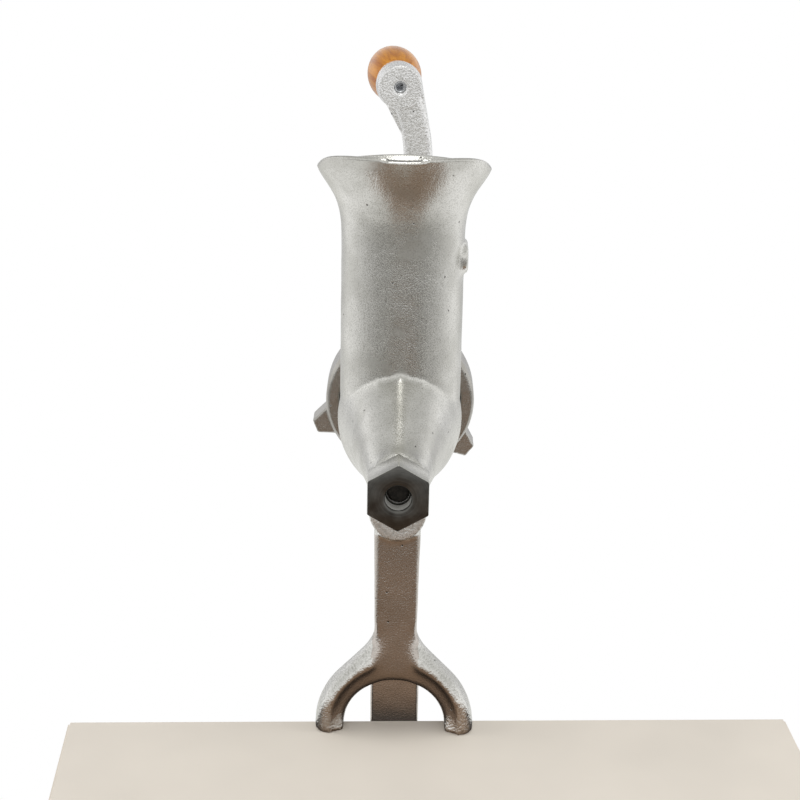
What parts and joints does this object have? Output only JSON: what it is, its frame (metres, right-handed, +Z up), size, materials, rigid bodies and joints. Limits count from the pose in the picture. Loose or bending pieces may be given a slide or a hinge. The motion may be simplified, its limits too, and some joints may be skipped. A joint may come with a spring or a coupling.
{
  "type": "hand crank meat grinder",
  "caption": "Table-clamped meat grinder of tinned cast iron with upright hopper, ring nut, forked foot, clamp screw and a curved crank with a wooden grip.",
  "frame": {"origin": "on the table top, midway between the two feet, at the inner face of the clamp's spine, where the table's edge comes to rest", "axes": "+Z up; the shaft runs along Y, with the neck nut at -Y over the table and the ring nut and the crank at +Y beyond the table's edge; +X is to the right of someone who looks along +Y"},
  "size_m": [0.0903, 0.2896, 0.4526],
  "materials": {
    "tinned_iron": "tinned, as cast",
    "turned_iron": "tinned, end face turned",
    "steel": "turned and ground",
    "lacquered_wood": "clear golden lacquer",
    "fibre": "pressed fibre"
  },
  "bodies": {
    "frame": {"body_casting": "tinned_iron", "plate_key_pin": "steel", "thrust_washer": "fibre"},
    "drive": {"auger": "tinned_iron", "neck_nut": "turned_iron", "drive_stud": "steel", "knife": "steel", "crank_arm": "tinned_iron", "grip_pin": "steel", "grip_washer": "steel", "grip_end_washer": "steel"},
    "grip": {"grip": "lacquered_wood"},
    "plate": {"cutting_plate": "steel"},
    "ring": {"ring_nut": "tinned_iron"},
    "washer": {"crank_washer": "steel"},
    "thumb_screw": {"crank_thumb_screw": "tinned_iron"},
    "pad": {"clamp_pad": "tinned_iron"},
    "clamp_screw": {"clamp_spindle": "steel", "pad_retainer": "steel", "clamp_wing_head": "tinned_iron"}
  },
  "joints": [
    {"name": "crank_turn", "type": "hinge", "parent": "frame", "child": "drive", "pos_m": [0, 0, 0.1285], "axis": [0, 1, 0], "continuous": true},
    {"name": "grip_turn", "type": "hinge", "parent": "drive", "child": "grip", "pos_m": [-0.003, 0.17, 0.2885], "axis": [-0.0785, 0.9969, 0], "continuous": true},
    {"name": "plate_travel", "type": "slide", "parent": "frame", "child": "plate", "axis": [0, 1, 0], "range_m": [0, 0.0106]},
    {"name": "ring_turn", "type": "hinge", "parent": "plate", "child": "ring", "pos_m": [0, 0, 0.1285], "axis": [0, 1, 0], "range_deg": [0, 1260]},
    {"name": "washer_travel", "type": "slide", "parent": "drive", "child": "washer", "axis": [0, 1, 0], "range_m": [0, 0.0126]},
    {"name": "thumb_turn", "type": "hinge", "parent": "washer", "child": "thumb_screw", "pos_m": [0, 0, 0.1285], "axis": [0, 1, 0], "range_deg": [0, 3600]},
    {"name": "clamp_travel", "type": "slide", "parent": "frame", "child": "pad", "axis": [0, 0, 1], "range_m": [-0.0181, 0.0241]},
    {"name": "clamp_turn", "type": "hinge", "parent": "pad", "child": "clamp_screw", "pos_m": [0, -0.016, 0], "axis": [0, 0, 1], "range_deg": [-2160, 2880]}
  ],
  "couplings": [
    {"joint": "plate_travel", "follows": "ring_turn", "m_per_rad": 0.00047746},
    {"joint": "washer_travel", "follows": "thumb_turn", "m_per_rad": 0.00019894},
    {"joint": "clamp_travel", "follows": "clamp_turn", "m_per_rad": 0.00047746}
  ]
}
